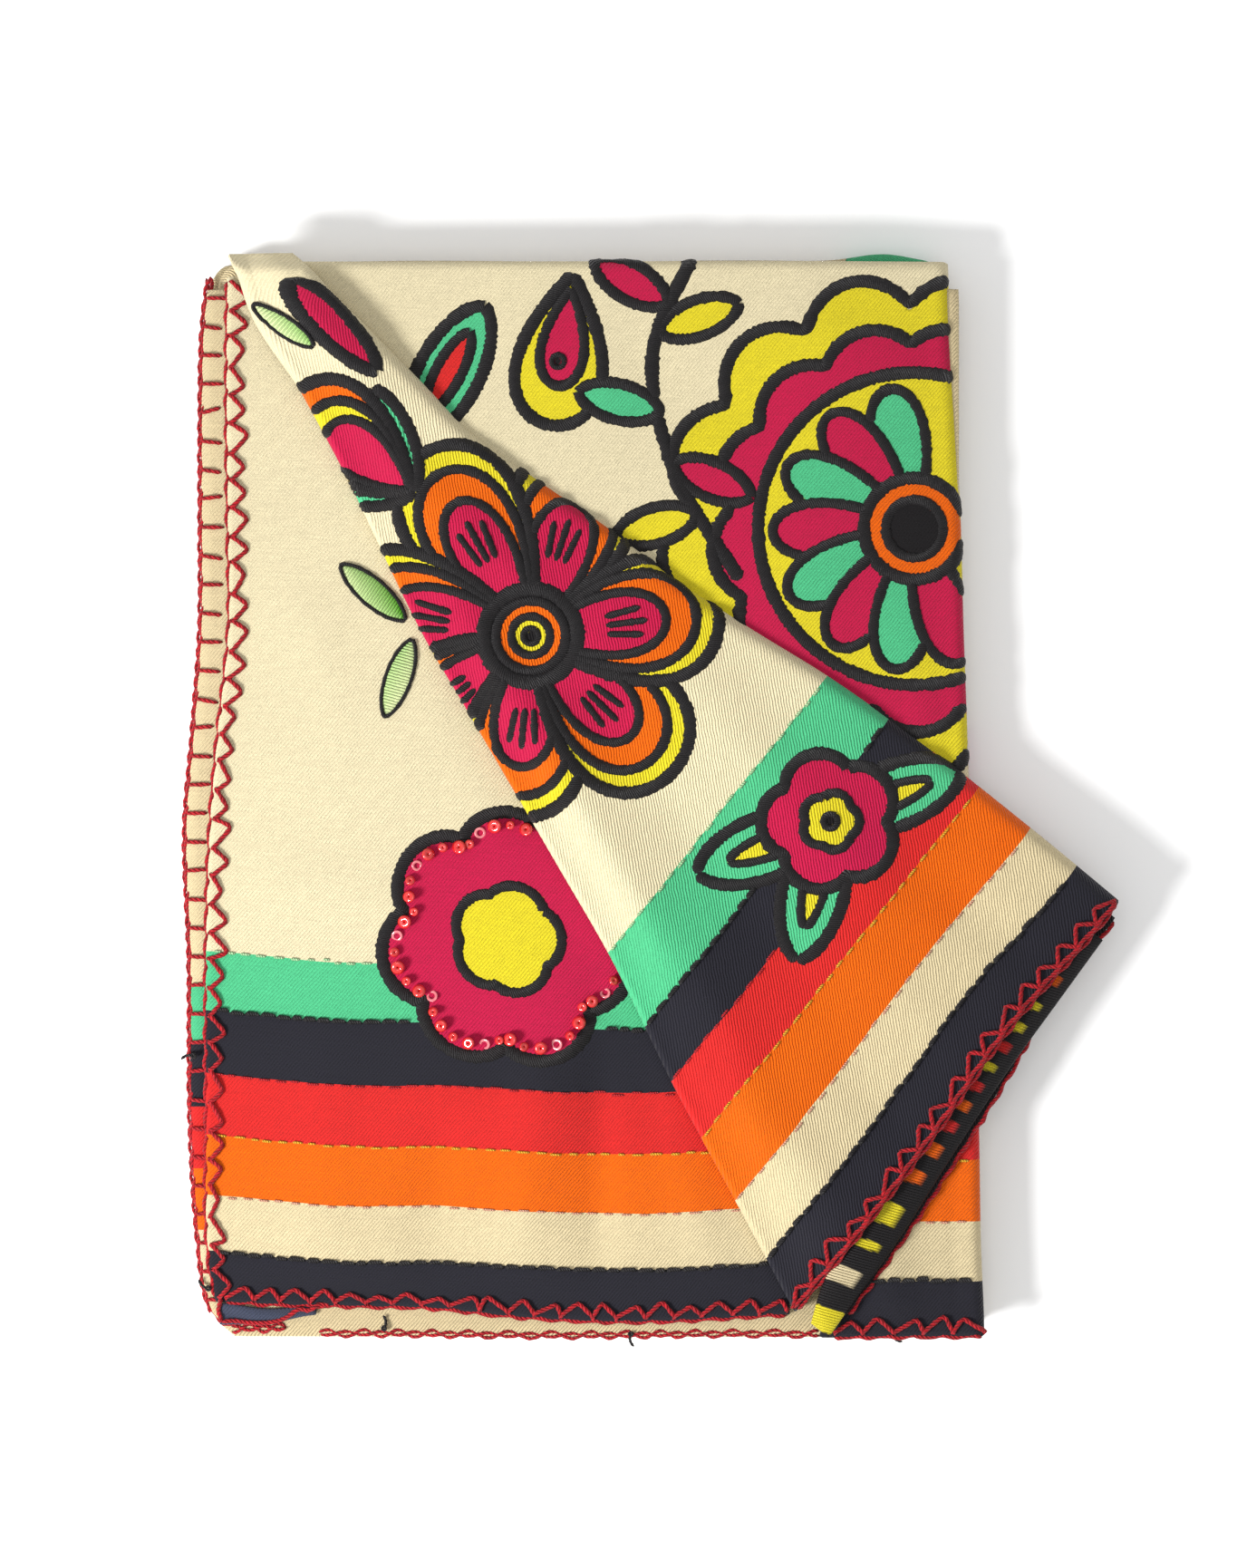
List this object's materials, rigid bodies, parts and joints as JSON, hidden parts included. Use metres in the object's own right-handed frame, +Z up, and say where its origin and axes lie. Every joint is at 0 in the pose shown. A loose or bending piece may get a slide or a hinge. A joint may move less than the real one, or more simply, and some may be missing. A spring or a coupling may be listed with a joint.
{
  "type": "folded printed wool scarf",
  "caption": "Wool twill scarf folded flat into a rectangular pack, its striped end pleated so that one corner turns over the stack as a flap.",
  "frame": {"origin": "on the surface that the pack lies on, under the middle of the outline", "axes": "+Z up through the layers, +Y from the striped front edge to the back fold, +X to the side where the flap's tip points"},
  "size_m": [0.257, 0.2988, 0.0239],
  "materials": {
    "cream_twill": "soft wool twill, printed in flat colours, with thick stitched outlines",
    "cream_twill_reverse": "reverse of the wool twill, paler and duller than the face",
    "stitched_reverse": "reverse of the dark border with black satin stitch",
    "edge_yarn": "twisted red yarn, blanket stitch round all edges",
    "embroidery_thread": "thick black and coloured embroidery thread with a slight sheen",
    "glass_bead": "small red seed beads and clear flat sequins"
  },
  "bodies": {
    "root": {"hidden_layers": "cream_twill_reverse", "back_half": "cream_twill_reverse", "left_panel": "cream_twill", "hidden_pleat": "cream_twill_reverse", "right_panel": "cream_twill", "flap_return": "stitched_reverse", "rolled_stretch": "stitched_reverse", "flap": "cream_twill", "turned_corner": "stitched_reverse"}
  },
  "joints": []
}
